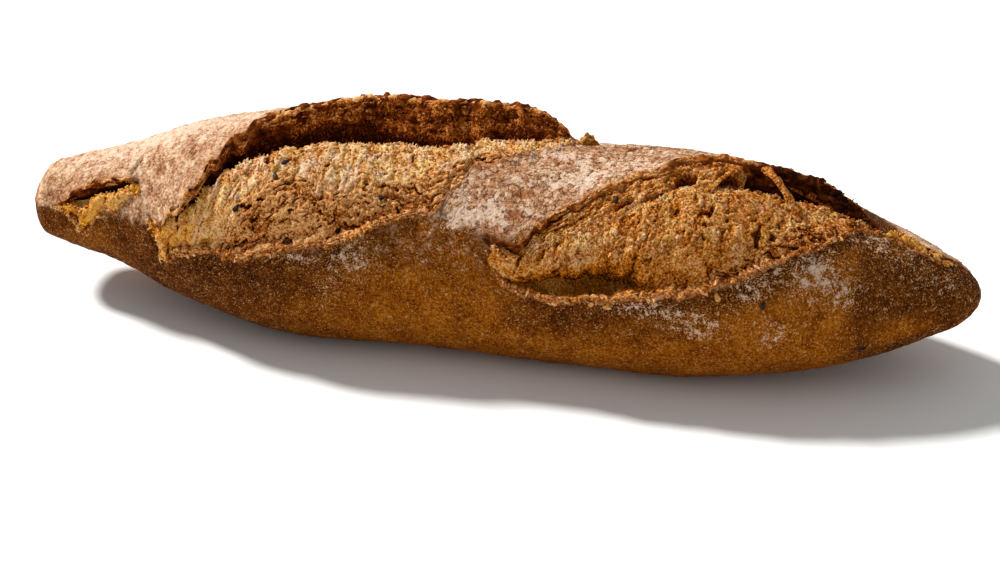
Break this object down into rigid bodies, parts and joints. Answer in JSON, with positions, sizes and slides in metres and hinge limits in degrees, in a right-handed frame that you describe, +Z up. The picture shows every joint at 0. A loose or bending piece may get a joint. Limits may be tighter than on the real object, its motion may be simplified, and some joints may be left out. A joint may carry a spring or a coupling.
{
  "type": "rustic baguette",
  "caption": "Short rustic baguette: a pointed hand-shaped loaf with a dark floured crust, torn open along its diagonal scores into lifted ears and rough golden crumb.",
  "frame": {"origin": "middle of the loaf's box, on the surface that it rests on", "axes": "+X along the loaf towards its pointed nose, +Z up, and the scores open towards -Y"},
  "size_m": [0.31, 0.082, 0.0708],
  "materials": {
    "crust": "matte baked crust, dusted with flour, with rough torn crumb in the scores"
  },
  "bodies": {
    "root": {"loaf": "crust"}
  },
  "joints": []
}
